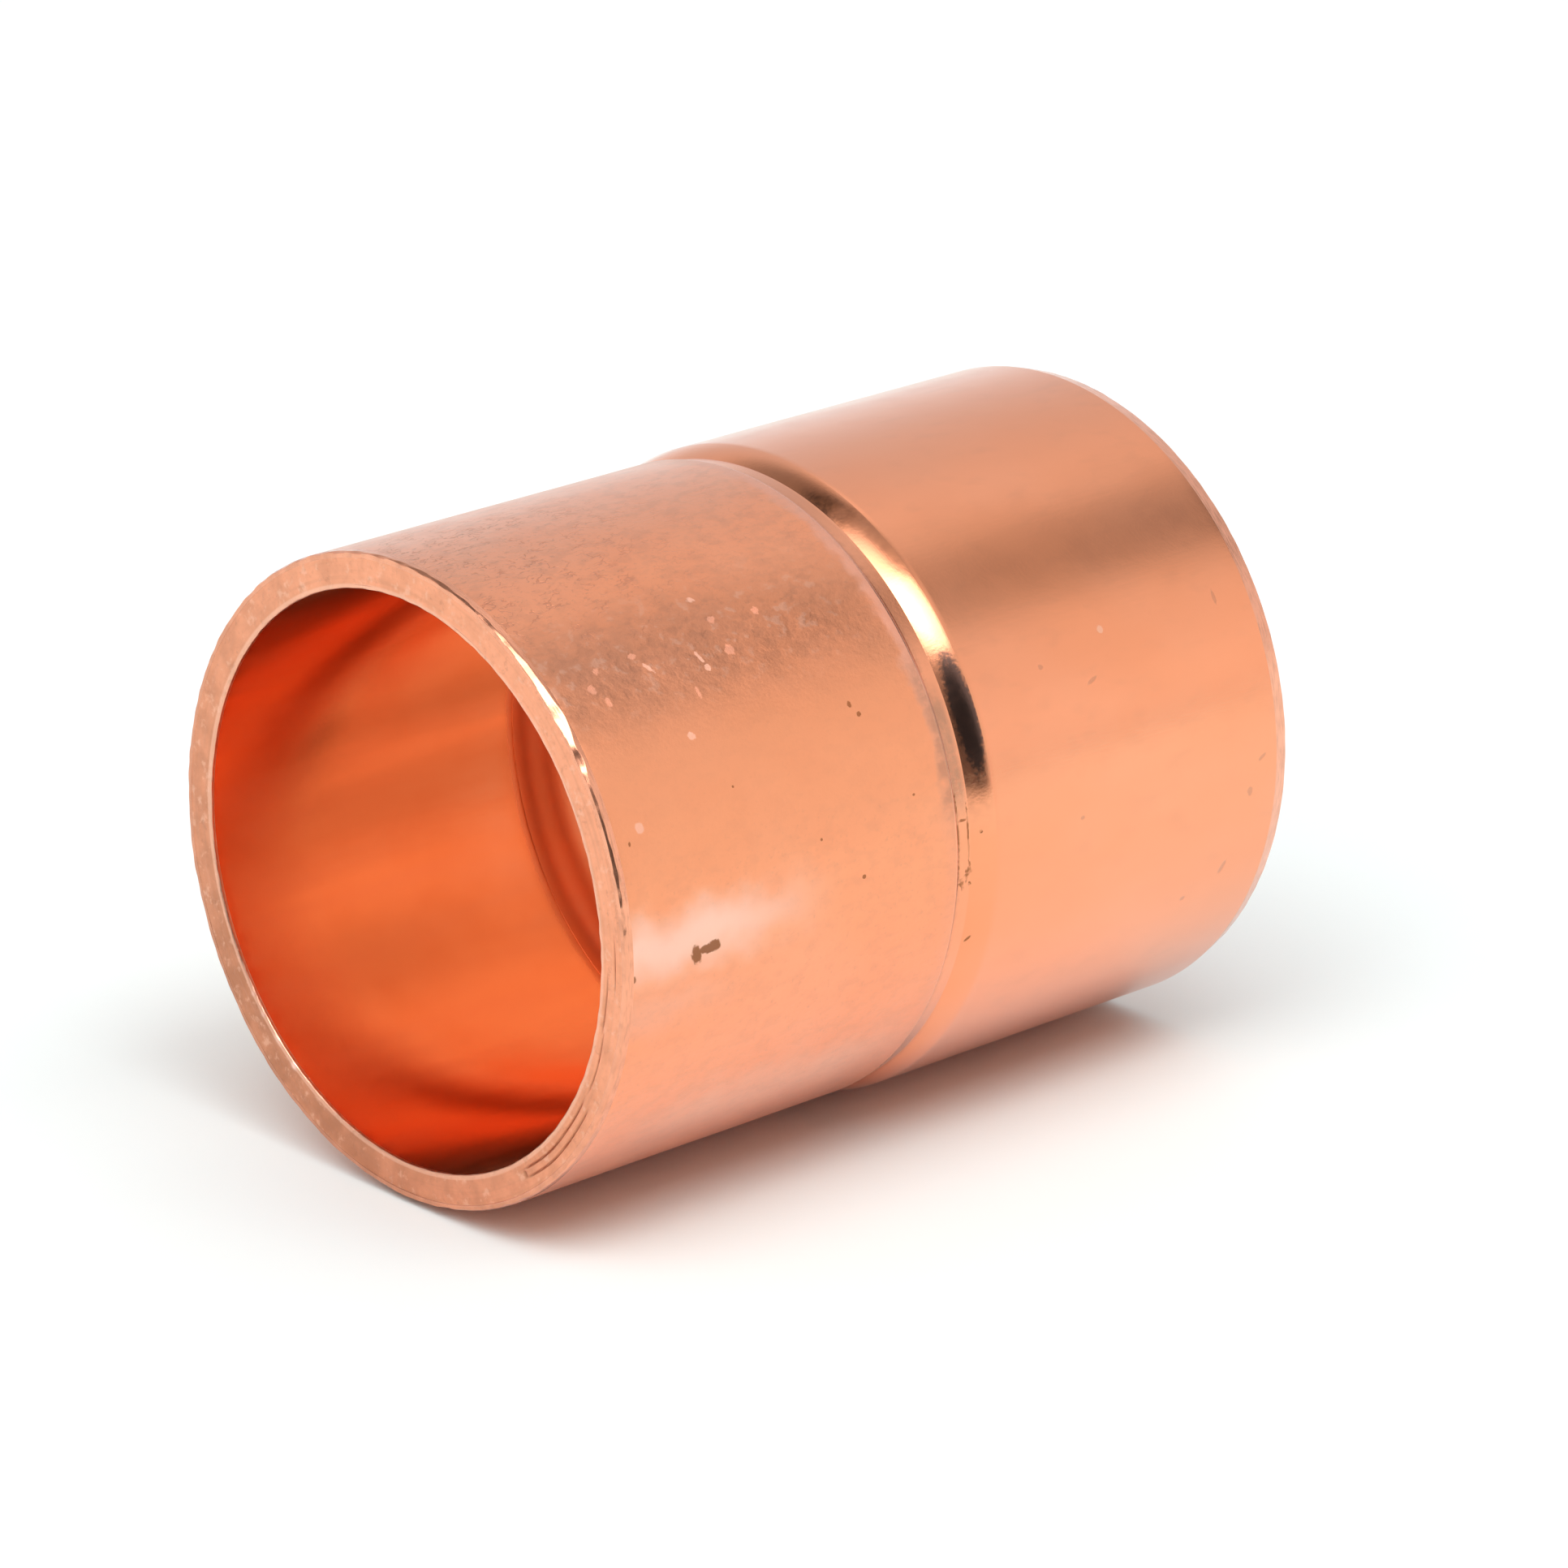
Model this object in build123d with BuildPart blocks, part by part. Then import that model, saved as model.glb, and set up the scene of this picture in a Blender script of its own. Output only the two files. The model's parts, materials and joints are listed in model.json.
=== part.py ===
"""Reducing coupling for capillary soldering, 28 mm to 1-1/8 in copper tube.

One piece of copper tube, drawn and sized into two plain sockets with a rolled tube stop between them.
It is written as its four sections, each a closed ring, which meet face to face on shared planes:
small_socket, stop_groove, reducing_shoulder and large_socket.

Frame: +X along the bore from the small mouth to the large one, +Z up, origin on the axis at mid-length.
"""

import os

from build123d import *

# Driving dimensions, in mm
SMALL_BORE = 28.12  # takes 28 mm tube
LARGE_BORE = 28.69  # takes 1-1/8 in (28.575 mm) tube
WALL = 1.8
SMALL_DEPTH = 19.0  # small mouth to the foot of the stop
LARGE_DEPTH = 19.3  # large mouth to the foot of the stop
STOP_WIDTH = 4.7  # between the bottoms of the two sockets
STOP_BORE = 26.4  # waterway through the stop

# The rolled groove and the shoulder on the outside
GROOVE_EDGE = 20.86  # small mouth to the groove's edge
GROOVE_DEPTH = 0.2  # below the small socket's outside
GROOVE_WALL = 0.12  # axial length of the groove's near wall
GROOVE_ROUNDING = 0.06  # radius of the groove's edge and of its near corner
SHOULDER_FOOT = 21.84  # small mouth to where the shoulder begins to rise
SHOULDER_TOP = 23.1  # small mouth to the edge of the large socket's outside
SHOULDER_CROWN = 0.06  # how far the shoulder bows out from a straight cone

# The stop's flanks on the inside
SMALL_FLANK = 1.8  # axial length of the ramp up from the small bore
LARGE_FLANK = 1.4  # axial length of the ramp up from the large bore
CREST_RADIUS = 1.0  # rounding where a ramp meets the waterway

# Outer chamfer of each mouth, along the axis and radially, and the broken inner edge
SMALL_CHAMFER = (0.5, 0.28)
LARGE_CHAMFER = (0.9, 0.25)
MOUTH_CHAMFER = 0.2

# Worked out
SMALL_IN = SMALL_BORE / 2
LARGE_IN = LARGE_BORE / 2
SMALL_OUT = SMALL_IN + WALL
LARGE_OUT = LARGE_IN + WALL
STOP_IN = STOP_BORE / 2
GROOVE_OUT = SMALL_OUT - GROOVE_DEPTH
LARGE_MOUTH_X = (SMALL_DEPTH + STOP_WIDTH + LARGE_DEPTH) / 2
SMALL_MOUTH_X = -LARGE_MOUTH_X
SMALL_BOTTOM_X = SMALL_MOUTH_X + SMALL_DEPTH
LARGE_BOTTOM_X = LARGE_MOUTH_X - LARGE_DEPTH
GROOVE_EDGE_X = SMALL_MOUTH_X + GROOVE_EDGE
SHOULDER_FOOT_X = SMALL_MOUTH_X + SHOULDER_FOOT
SHOULDER_TOP_X = SMALL_MOUTH_X + SHOULDER_TOP


def socket_profile(mouth_x, bottom_x, bore_radius, outer_radius, chamfer):
    """Section through one plain socket, with its mouth's outer and inner edges broken."""
    inward = 1 if bottom_x > mouth_x else -1
    Polyline(
        (bottom_x, bore_radius),
        (mouth_x + inward * MOUTH_CHAMFER, bore_radius),
        (mouth_x, bore_radius + MOUTH_CHAMFER),
        (mouth_x, outer_radius - chamfer[1]),
        (mouth_x + inward * chamfer[0], outer_radius),
        (bottom_x, outer_radius),
        close=True,
    )


def stop_bore_line(bottom_x, bore_radius, flank):
    """Inside line of the stop, from the bottom of a socket over its ramp to the shoulder's foot."""
    inward = 1 if bottom_x < SHOULDER_FOOT_X else -1
    FilletPolyline(
        (bottom_x, bore_radius),
        (bottom_x + inward * flank, STOP_IN),
        (SHOULDER_FOOT_X, STOP_IN),
        radius=CREST_RADIUS,
    )


# Small socket: the cup for the 28 mm tube
with BuildPart() as small_socket:
    with BuildSketch(Plane.XY):
        with BuildLine():
            socket_profile(SMALL_MOUTH_X, SMALL_BOTTOM_X, SMALL_IN, SMALL_OUT, SMALL_CHAMFER)
        make_face()
    revolve(axis=Axis.X)

# Stop groove: the rolled groove outside, and the bore's rise to the stop inside
with BuildPart() as stop_groove:
    with BuildSketch(Plane.XY):
        with BuildLine():
            FilletPolyline(
                (SMALL_BOTTOM_X, SMALL_OUT),
                (GROOVE_EDGE_X, SMALL_OUT),
                (GROOVE_EDGE_X + GROOVE_WALL, GROOVE_OUT),
                (SHOULDER_FOOT_X, GROOVE_OUT),
                radius=GROOVE_ROUNDING,
            )
            Line((SHOULDER_FOOT_X, GROOVE_OUT), (SHOULDER_FOOT_X, STOP_IN))
            stop_bore_line(SMALL_BOTTOM_X, SMALL_IN, SMALL_FLANK)
            Line((SMALL_BOTTOM_X, SMALL_IN), (SMALL_BOTTOM_X, SMALL_OUT))
        make_face()
    revolve(axis=Axis.X)

# Reducing shoulder: from the groove up to the large socket's outside
with BuildPart() as reducing_shoulder:
    shoulder_middle = (
        (SHOULDER_FOOT_X + SHOULDER_TOP_X) / 2,
        (GROOVE_OUT + LARGE_OUT) / 2 + SHOULDER_CROWN,
    )
    with BuildSketch(Plane.XY):
        with BuildLine():
            ThreePointArc((SHOULDER_FOOT_X, GROOVE_OUT), shoulder_middle, (SHOULDER_TOP_X, LARGE_OUT))
            Line((SHOULDER_TOP_X, LARGE_OUT), (LARGE_BOTTOM_X, LARGE_OUT))
            Line((LARGE_BOTTOM_X, LARGE_OUT), (LARGE_BOTTOM_X, LARGE_IN))
            stop_bore_line(LARGE_BOTTOM_X, LARGE_IN, LARGE_FLANK)
            Line((SHOULDER_FOOT_X, STOP_IN), (SHOULDER_FOOT_X, GROOVE_OUT))
        make_face()
    revolve(axis=Axis.X)

# Large socket: the cup for the 1-1/8 in tube
with BuildPart() as large_socket:
    with BuildSketch(Plane.XY):
        with BuildLine():
            socket_profile(LARGE_MOUTH_X, LARGE_BOTTOM_X, LARGE_IN, LARGE_OUT, LARGE_CHAMFER)
        make_face()
    revolve(axis=Axis.X)

sections = {
    "small_socket": small_socket,
    "stop_groove": stop_groove,
    "reducing_shoulder": reducing_shoulder,
    "large_socket": large_socket,
}

os.makedirs("parts", exist_ok=True)
for name, section in sections.items():
    section.part.label = name
    export_step(section.part, f"parts/{name}.step")
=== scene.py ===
"""Copper reducing coupling: the look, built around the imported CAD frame.

Each CAD section gets a finely lathed twin with its real surface: rounded edges, cutter marks and burrs on
the mouths, drawing waviness along the walls. Every twin wears procedural copper. Lengths are in metres.
"""

import json
import math

import bpy
import numpy as np
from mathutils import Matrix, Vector


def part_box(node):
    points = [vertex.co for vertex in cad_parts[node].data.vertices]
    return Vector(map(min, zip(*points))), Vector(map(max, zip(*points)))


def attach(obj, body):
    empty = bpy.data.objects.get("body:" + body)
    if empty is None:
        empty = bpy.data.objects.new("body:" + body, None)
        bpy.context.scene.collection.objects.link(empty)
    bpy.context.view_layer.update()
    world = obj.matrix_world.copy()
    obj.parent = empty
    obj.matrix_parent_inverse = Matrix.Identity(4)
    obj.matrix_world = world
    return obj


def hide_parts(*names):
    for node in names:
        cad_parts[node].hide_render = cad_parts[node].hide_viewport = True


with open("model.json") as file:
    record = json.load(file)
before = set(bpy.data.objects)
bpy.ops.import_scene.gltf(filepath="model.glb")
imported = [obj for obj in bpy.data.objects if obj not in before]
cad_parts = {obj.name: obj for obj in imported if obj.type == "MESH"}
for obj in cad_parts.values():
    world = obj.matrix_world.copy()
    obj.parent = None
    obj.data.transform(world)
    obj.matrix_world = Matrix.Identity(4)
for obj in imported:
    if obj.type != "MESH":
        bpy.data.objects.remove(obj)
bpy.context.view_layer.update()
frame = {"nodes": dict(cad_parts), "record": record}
MM = 0.001

# Sizes from the frame
SMALL_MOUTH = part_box("small_socket")[0].x
SMALL_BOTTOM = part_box("small_socket")[1].x
SMALL_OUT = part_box("small_socket")[1].z
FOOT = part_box("stop_groove")[1].x
LARGE_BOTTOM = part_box("large_socket")[0].x
LARGE_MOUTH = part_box("large_socket")[1].x
LARGE_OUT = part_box("large_socket")[1].z
BORES = {m["name"]: m["dims"]["r_mm"] * MM for m in frame["record"]["mounts"]}
SMALL_IN = BORES["small_socket"]
LARGE_IN = BORES["large_socket"]

# Sizes of the section that the frame's boxes don't give
STOP_IN = 13.2 * MM
GROOVE_EDGE = SMALL_MOUTH + 20.86 * MM
GROOVE_WALL = 0.12 * MM
GROOVE_OUT = SMALL_OUT - 0.2 * MM
SHOULDER_TOP = SMALL_MOUTH + 23.1 * MM
SHOULDER_CROWN = 0.06 * MM
LARGE_FLANK = 1.4 * MM
SMALL_CHAMFER = (0.5 * MM, 0.28 * MM)
LARGE_CHAMFER = (0.9 * MM, 0.25 * MM)
MOUTH_CHAMFER = 0.2 * MM

# Roundings of the twins' edges
EDGE = 0.05 * MM
SOFT_EDGE = 0.1 * MM
ROLLED_EDGE = 0.25 * MM
GROOVE_CORNER = 0.14 * MM
LARGE_CREST = 1.2 * MM

# Mesh fineness
AROUND = 960
WALL_STEP = 0.5 * MM
RAMP_STEP = 0.05 * MM
FINE_STEP = 0.03 * MM
ROUND_STEPS = 6
RAMP_STEPS = 64
CROWN_STEPS = 12
SHARP = math.radians(40)
FACING = 0.3  # least part of a normal along the radius where a point counts as outside or in the bore

# Camera: angles in degrees, lens and sensor in mm, nearest in metres
CAMERA_YAW = 47.23
CAMERA_PITCH = 19.95
CAMERA_LENS = 173.7
CAMERA_SENSOR = 36.0
CAMERA_NEAREST = 0.01
CAMERA_FROM_MOUTH = (-13.295, -16.034, 7.861)  # in outer radii of the small end


# ---------------------------------------------------------------- surface relief


def ripple(seed, turns, pitch, count=28):
    """Smooth random relief over angle and length, from -1 to 1, the same on both sides of the seam."""
    rng = np.random.default_rng(seed)
    around = rng.integers(-turns, turns + 1, count)
    along = rng.normal(0, 1 / pitch, count) * 2 * math.pi
    phase = rng.uniform(0, 2 * math.pi, count)

    def at(angle, length):
        total = sum(np.cos(a * angle + k * length + p) for a, k, p in zip(around, along, phase))
        return np.clip(total / math.sqrt(2 * count), -1, 1)

    return at


def hump(value, centre, width):
    """A smooth hump of height 1 around centre."""
    return np.exp(-(((value - centre) / width) ** 2))


def window(value, low, high, soft):
    """1 between low and high, falling to 0 over soft on each side."""
    return 1 / (1 + np.exp(-(value - low) / soft)) / (1 + np.exp((value - high) / soft))


drawn_wave = ripple(seed=3, turns=5, pitch=22 * MM)
fine_wave = ripple(seed=5, turns=60, pitch=2.2 * MM)
face_wave = ripple(seed=7, turns=24, pitch=1.2 * MM)
edge_wave = ripple(seed=11, turns=90, pitch=1.5 * MM)
tear_wave = ripple(seed=13, turns=240, pitch=0.5 * MM)

# The drawn walls and the bore's way to the stop
DRAWN_DEPTH = 0.006 * MM
FINE_DEPTH = 0.0006 * MM
LARGE_FOOT_SOFTNESS = 0.45 * MM
RAMP_MIDDLE = SMALL_BOTTOM + 1.05 * MM
RAMP_SOFTNESS = 0.8 * MM
RAMP_START = SMALL_BOTTOM - 2.5 * MM

# The marks on a sawn mouth
RING_DEPTH = 0.003 * MM
TEAR_DEPTH = 0.003 * MM
BLOTCH_DEPTH = 0.012 * MM
UNEVEN_EDGE = 0.012 * MM
UNEVEN_REACH = 0.7 * MM

# The near mouth's own marks, with their places and widths round it in degrees
LINE_DEPTH = 0.09 * MM
LINE_WANDER = 0.05 * MM
LINE_FADE = 0.8
FOLD_END_TURN = -54.2
FOLD_END_WIDTH = 0.45
FOLD_REACH = (14.62 * MM, 15.0 * MM)
LEDGE_DEPTH = 0.03 * MM
LEDGE_TURN = (-100, -20)
LEDGE_FADE = 3
LEDGE_REACH = (15.1 * MM, 16 * MM)
SHARP_FADE = 0.03 * MM
BEAD_HEIGHT = 0.05 * MM

# Its outer chamfer: where most of it is there, where a nick is, and the share there along the thin line
STRETCH_TURN = (41.0, 59.5)
NICK_TURN = (35.0, 38.0)
THIN_EDGE = 0.26


def drawn_depth(x, angle):
    """Shallow waviness left by drawing the tube, only ever into the metal."""
    return DRAWN_DEPTH * (1 + drawn_wave(angle, x)) + FINE_DEPTH * (1 + fine_wave(angle, x))


def ramp_rise(x):
    """How far the small bore's soft ramp has risen towards the stop."""
    at_foot = 1 + np.tanh((FOOT - RAMP_MIDDLE) / RAMP_SOFTNESS)
    share = (1 + np.tanh((x - RAMP_MIDDLE) / RAMP_SOFTNESS)) / at_foot
    return (SMALL_IN - STOP_IN) * share


def foot_fill(x):
    """How far the rolling leaves each bore filled around the foot of the stop's flank."""
    slope = (LARGE_IN - STOP_IN) / LARGE_FLANK
    away = np.abs(x - LARGE_BOTTOM) / LARGE_FOOT_SOFTNESS
    large_foot = slope * LARGE_FOOT_SOFTNESS * np.log1p(np.exp(-away))
    return np.where(x > FOOT, large_foot, np.where(x > SMALL_BOTTOM, 0, ramp_rise(x)))


def degrees_of(angle):
    """Angle in degrees from -180 to 180, 0 on the -Y side and 90 on top."""
    return (np.degrees(angle) + 180) % 360 - 180


def on_flat_face(nx):
    """1 on a mouth's flat face, where the surface faces along the bore, and 0 on its rounded edges."""
    return np.clip((np.abs(nx) - 0.8) / 0.15, 0, 1)


def refill(mouth, chamfer, side, kept):
    """Fills a mouth's chamfer back towards a sharp edge: side is 1 outside, -1 in the bore."""
    length, height = chamfer
    peak = length * height / math.hypot(length, height)
    turn_at = (peak / length) ** 2

    def relief(x, r, angle, nx, nr):
        run = np.abs(x - mouth) / length
        corner_height = np.minimum(run / turn_at, (1 - run) / (1 - turn_at)) * peak
        return np.clip(np.minimum(corner_height, (1 - kept(angle)) * peak), 0, None) * (nr * side > FACING)

    return relief


def cut_mouth(mouth, inner, outer, seed):
    """Relief of a sawn and deburred mouth: cutter rings, torn patches and an uneven edge."""
    rings = ripple(seed, turns=5, pitch=0.22 * MM)
    blotch = ripple(seed + 1, turns=34, pitch=0.9 * MM)

    def relief(x, r, angle, nx, nr):
        on_face = on_flat_face(nx)
        near = np.clip(1 - np.abs(x - mouth) / UNEVEN_REACH, 0, 1)
        middle = window(r, inner + 0.12 * MM, outer - 0.2 * MM, 0.05 * MM)
        depth = RING_DEPTH * (1 + rings(angle, r)) + BLOTCH_DEPTH * (1 + blotch(angle, r))
        depth = depth + TEAR_DEPTH * (1 + tear_wave(angle, r))
        edge = UNEVEN_EDGE * (1 + edge_wave(angle, r)) * near * (1 - on_face)
        return -(depth * on_face * (0.35 + 0.65 * middle) + edge)

    return relief


# Folded and scored lines on the near mouth's face: radius in mm, from and to in degrees, half width in mm
FACE_LINES = (
    (14.60, -54, -29, 0.060),
    (15.03, -54, -30, 0.060),
    (14.66, -26, -14, 0.050),
    (14.55, -13, -2, 0.055),
    (15.08, -4, 5, 0.045),
)
# Beads of burr on its inner lip: degrees round, half width in degrees, height
LIP_BEADS = ((-142, 0.6, 0.45), (-137.5, 0.7, 0.5), (-131.5, 1.9, 0.45), (-125.3, 0.9, 1.0))


def face_lines(r, angle):
    """How deep in a folded or scored line each point of the near face is, from 0 to 1."""
    turn = degrees_of(angle)
    wander = LINE_WANDER * face_wave(angle, 0 * r)
    deepest = hump(turn, FOLD_END_TURN, FOLD_END_WIDTH) * window(r, *FOLD_REACH, SHARP_FADE)
    for radius, low, high, half in FACE_LINES:
        line = hump(r, radius * MM + wander, half * MM) * window(turn, low, high, LINE_FADE)
        deepest = np.maximum(deepest, line)
    return deepest


def lip_beads(x, r, angle):
    """The beads' height, from 0 to 1."""
    turn = degrees_of(angle)
    on_lip = hump(r, SMALL_IN + 0.12 * MM, 0.2 * MM) * hump(x, SMALL_MOUTH, 0.15 * MM)
    return on_lip * sum(height * hump(turn, at, half) for at, half, height in LIP_BEADS)


def small_mouth_relief(x, r, angle, nx, nr):
    """The near mouth's own marks: a folded burr low on one side, scores, a ledge, and beads on its lip."""
    turn = degrees_of(angle)
    ledge = LEDGE_DEPTH * window(turn, *LEDGE_TURN, LEDGE_FADE) * window(r, *LEDGE_REACH, SHARP_FADE)
    beads = BEAD_HEIGHT * lip_beads(x, r, angle)
    return -on_flat_face(nx) * (LINE_DEPTH * face_lines(r, angle) + ledge) + beads


def small_mouth_dirt(x, r, angle, nx, nr):
    """Darker brown in the near face's lines, above 0, and the painted highlight of the beads on its lip,
    below 0.
    """
    return on_flat_face(nx) * face_lines(r, angle) - lip_beads(x, r, angle)


def small_edge_kept(angle):
    """How much of the near outer chamfer is there: one long stretch, a nick, and a thin line elsewhere."""
    turn = degrees_of(angle)
    taper = np.clip((62 - turn) / 18, 0.3, 1)
    stretch = window(turn, *STRETCH_TURN, 0.7) * taper
    nick = window(turn, *NICK_TURN, 0.4)
    thin = THIN_EDGE + 0.10 * edge_wave(angle, 0 * angle)
    return np.clip(thin + 0.55 * stretch + 0.3 * nick, 0.12, 1)


def inner_edge_kept(angle):
    """How much of a mouth's broken inner edge is there."""
    return 0.3 + 0.1 * edge_wave(angle, 0 * angle)


# ---------------------------------------------------------------- lathed sections


def corner(x, r, rounding=0.0, step=WALL_STEP, surface="outside"):
    """A corner of a section: where it is, how round it is, and the run that starts from it."""
    return {"at": Vector((x, r)), "rounding": rounding, "step": step, "surface": surface}


def outline(corners):
    """The closed outline through the corners, as points and the surface that follows each one."""
    rounded = []
    for i, c in enumerate(corners):
        if not c["rounding"]:
            rounded.append([c["at"]])
            continue
        back = (corners[i - 1]["at"] - c["at"]).normalized()
        ahead = (corners[(i + 1) % len(corners)]["at"] - c["at"]).normalized()
        half = back.angle(ahead) / 2
        cut = c["rounding"] / math.tan(half)
        centre = c["at"] + (back + ahead).normalized() * (c["rounding"] / math.sin(half))
        start, end = c["at"] + back * cut - centre, c["at"] + ahead * cut - centre
        spokes = [start.lerp(end, k / ROUND_STEPS).normalized() for k in range(ROUND_STEPS + 1)]
        rounded.append([centre + spoke * c["rounding"] for spoke in spokes])
    points, surfaces = [], []
    for i, c in enumerate(corners):
        arc, following = rounded[i], rounded[(i + 1) % len(corners)][0]
        points += arc
        surfaces += [c["surface"]] * len(arc)
        count = max(1, math.ceil((following - arc[-1]).length / c["step"] - 1e-6))
        points += [arc[-1].lerp(following, k / count) for k in range(1, count)]
        surfaces += [c["surface"]] * (count - 1)
    return points, surfaces


def ring_mesh(name, vertices, count):
    """A smooth closed mesh of count circles of AROUND vertices, each joined to the next."""
    i, j = np.meshgrid(np.arange(count), np.arange(AROUND), indexing="ij")
    i2, j2 = (i + 1) % count, (j + 1) % AROUND
    corners = [i * AROUND + j, i2 * AROUND + j, i2 * AROUND + j2, i * AROUND + j2]
    quads = np.stack(corners, -1).reshape(-1, 4)
    mesh = bpy.data.meshes.new(name)
    mesh.vertices.add(len(vertices))
    mesh.vertices.foreach_set("co", vertices.ravel())
    mesh.loops.add(quads.size)
    mesh.loops.foreach_set("vertex_index", quads.ravel())
    mesh.polygons.add(len(quads))
    mesh.polygons.foreach_set("loop_start", np.arange(len(quads)) * 4)
    mesh.polygons.foreach_set("use_smooth", np.ones(len(quads), bool))
    return mesh


def lathe(name, corners, materials, reliefs=(), dirt=None):
    """A closed ring turned about X from an outline, with relief on it and its marks as an attribute:
    darker above 0, painted highlight below 0.
    """
    points, surfaces = outline(corners)
    path = np.array([tuple(p) for p in points])
    count = len(path)

    # The outline's normals, out of the metal
    ahead = np.roll(path, -1, 0) - path
    ahead /= np.linalg.norm(ahead, axis=1)[:, None]
    tangent = ahead + np.roll(ahead, 1, 0)
    tangent /= np.linalg.norm(tangent, axis=1)[:, None]
    normal = np.stack([-tangent[:, 1], tangent[:, 0]], 1)

    # Every point of the ring, moved along its normal but never past the section's ends or largest radius
    angles = -math.pi / 2 + np.arange(AROUND) * 2 * math.pi / AROUND
    x, angle = np.meshgrid(path[:, 0], angles, indexing="ij")
    r = np.broadcast_to(path[:, 1][:, None], x.shape)
    nx = np.broadcast_to(normal[:, 0][:, None], x.shape)
    nr = np.broadcast_to(normal[:, 1][:, None], x.shape)
    # The marks: darkening where above 0, a painted highlight where below 0
    marking = dirt(x, r, angle, nx, nr) if dirt else np.zeros(x.shape)
    moved = sum(relief(x, r, angle, nx, nr) for relief in reliefs)
    outside, inside = nr > FACING, nr < -FACING
    r = r + moved * nr + drawn_depth(x, angle) * (inside * 1.0 - outside) - foot_fill(x) * inside
    x = np.clip(x + moved * nx, path[:, 0].min(), path[:, 0].max())
    r = np.minimum(r, path[:, 1].max())
    vertices = np.stack([x, -r * np.cos(angle), r * np.sin(angle)], -1).reshape(-1, 3)

    mesh = ring_mesh(name, vertices, count)
    names = list(materials)
    for surface in names:
        mesh.materials.append(materials[surface])
    index = np.repeat([names.index(s) for s in surfaces], AROUND)
    mesh.polygons.foreach_set("material_index", index.astype(np.int32))
    dirt_values = mesh.attributes.new("dirt", "FLOAT", "POINT").data
    dirt_values.foreach_set("value", marking.astype(np.float32).ravel())
    mesh.update()
    mesh.set_sharp_from_angle(angle=SHARP)
    mesh.validate()
    piece = bpy.data.objects.new(name, mesh)
    bpy.context.scene.collection.objects.link(piece)
    return piece


# ---------------------------------------------------------------- materials


class Nodes:
    """A node tree with short calls for the nodes used here."""

    def __init__(self, tree):
        self.tree = tree

    def add(self, kind, **values):
        node = self.tree.nodes.new(kind)
        for key, value in values.items():
            setattr(node, key, value)
        return node

    def put(self, node, **inputs):
        """Sets or links a node's inputs, by name or by _number."""
        for key, value in inputs.items():
            socket = node.inputs[int(key[1:]) if key.startswith("_") else key]
            if isinstance(value, bpy.types.NodeSocket):
                self.tree.links.new(value, socket)
            else:
                socket.default_value = value
        return node

    def math(self, operation, a, b=None, c=None):
        node = self.add("ShaderNodeMath", operation=operation)
        given = {f"_{k}": value for k, value in enumerate((a, b, c)) if value is not None}
        return self.put(node, **given).outputs[0]

    def chain(self, operation, values):
        """All the values, joined one after another by the operation."""
        result = values[0]
        for value in values[1:]:
            result = self.math(operation, result, value)
        return result

    def highest(self, *values):
        return self.chain("MAXIMUM", values)

    def product(self, *values):
        return self.chain("MULTIPLY", values)

    def total(self, *values):
        return self.chain("ADD", values)

    def scale(self, vector, factor):
        node = self.add("ShaderNodeVectorMath", operation="SCALE")
        return self.put(node, Vector=vector, Scale=factor).outputs[0]

    def stretch(self, vector, factors):
        node = self.add("ShaderNodeVectorMath", operation="MULTIPLY")
        return self.put(node, _0=vector, _1=factors).outputs[0]

    def split(self, vector):
        return self.put(self.add("ShaderNodeSeparateXYZ"), Vector=vector).outputs

    def join(self, x, y, z):
        return self.put(self.add("ShaderNodeCombineXYZ"), X=x, Y=y, Z=z).outputs[0]

    def remap(self, value, low, high, new_low=0.0, new_high=1.0):
        """A smooth step from new_low at low to new_high at high, whichever of them is larger."""
        node = self.add("ShaderNodeMapRange", interpolation_type="SMOOTHSTEP")
        return self.put(node, _0=value, _1=low, _2=high, _3=new_low, _4=new_high).outputs[0]

    def blend(self, factor, a, b):
        return self.put(self.add("ShaderNodeMix", data_type="RGBA"), _0=factor, _6=a, _7=b).outputs[2]


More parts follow.
